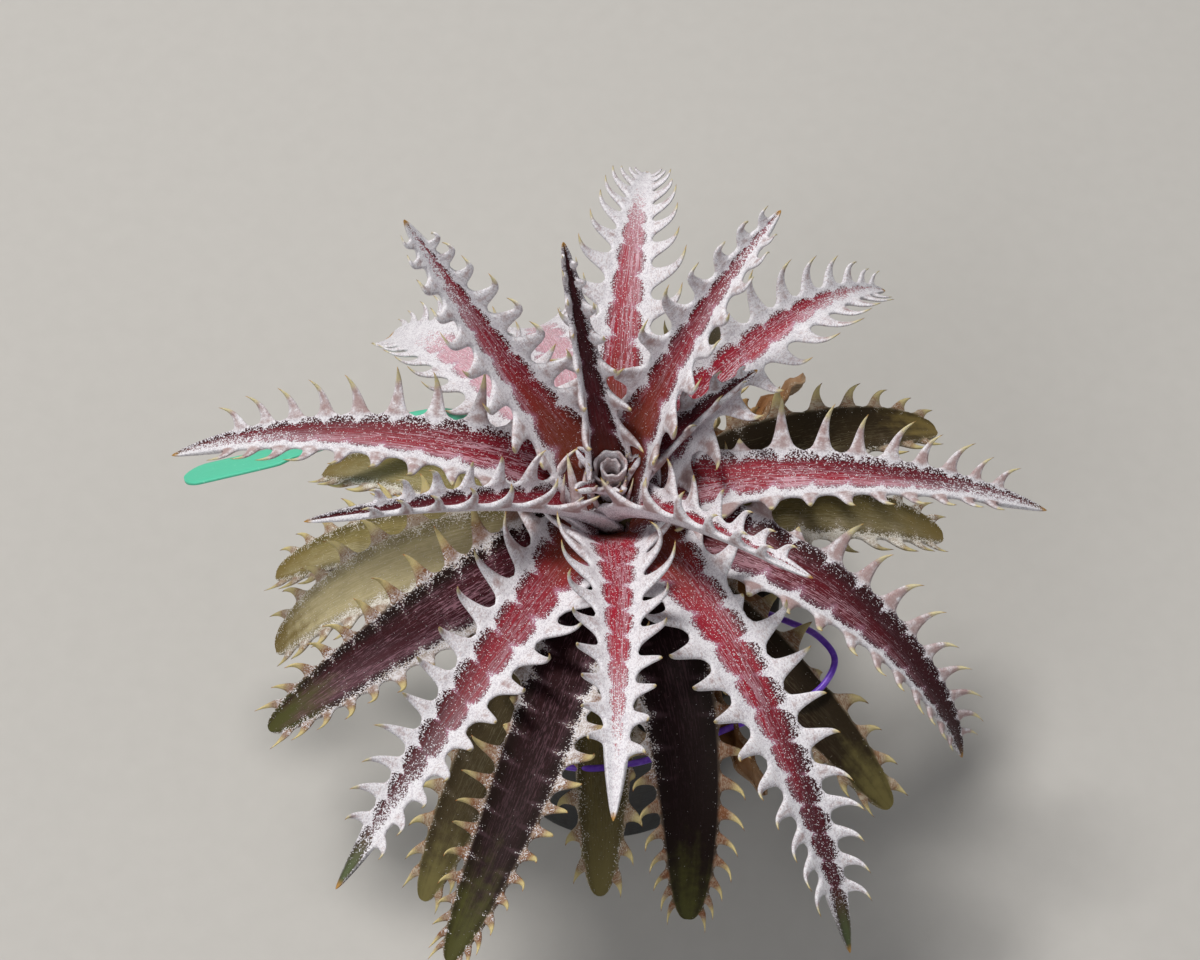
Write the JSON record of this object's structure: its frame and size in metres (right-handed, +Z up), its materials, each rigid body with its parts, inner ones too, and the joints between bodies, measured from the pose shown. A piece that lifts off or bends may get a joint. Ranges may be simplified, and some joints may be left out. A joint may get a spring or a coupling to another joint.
{
  "type": "dyckia bromeliad in a nursery pot",
  "caption": "Rosette of thick channelled leaves with hooked pale spines along both margins, on a short stem in a small round nursery pot, with a blank label and a wire loop.",
  "frame": {"origin": "middle of the pot's underside, on the surface it stands on", "axes": "+Z up along the pot and stem; -Y is the side that the longest low leaves and the wire face"},
  "size_m": [0.1469, 0.1499, 0.1323],
  "materials": {
    "red_leaf": "deep maroon channel with pale lengthwise streaks under thick white scurf on the margins and spines",
    "dark_leaf": "blackish maroon to bronze green, finely speckled with white scurf",
    "old_leaf": "olive to yellow green with brown spines and thin scurf",
    "dry_leaf": "dead, brown, curled and papery",
    "stem": "short stem wrapped in brown leaf scars",
    "pot": "moulded black nursery plastic",
    "substrate": "gritty mix of pumice, grit and bark",
    "label": "blank teal plant label, semi-matt",
    "wire": "purple coated wire, glossy"
  },
  "bodies": {
    "root": {"pot": "pot", "substrate": "substrate", "stem": "stem", "bud": "red_leaf", "leaf_01": "red_leaf", "leaf_02": "red_leaf", "leaf_03": "red_leaf", "leaf_04": "red_leaf", "leaf_05": "red_leaf", "leaf_06": "red_leaf", "leaf_07": "red_leaf", "leaf_08": "red_leaf", "leaf_09": "red_leaf", "leaf_10": "red_leaf", "leaf_11": "red_leaf", "leaf_12": "red_leaf", "leaf_13": "red_leaf", "leaf_14": "red_leaf", "leaf_15": "dark_leaf", "leaf_16": "dark_leaf", "leaf_17": "dark_leaf", "leaf_18": "dark_leaf", "leaf_19": "dark_leaf", "leaf_20": "old_leaf", "leaf_21": "old_leaf", "leaf_22": "old_leaf", "leaf_23": "old_leaf", "leaf_24": "old_leaf", "leaf_25": "old_leaf", "leaf_26": "old_leaf", "leaf_27": "old_leaf", "leaf_28": "old_leaf", "leaf_29": "old_leaf", "dry_leaf_01": "dry_leaf", "dry_leaf_02": "dry_leaf", "dry_leaf_03": "dry_leaf", "dry_leaf_04": "dry_leaf", "dry_leaf_05": "dry_leaf", "label": "label", "tie_wire": "wire"}
  },
  "joints": []
}
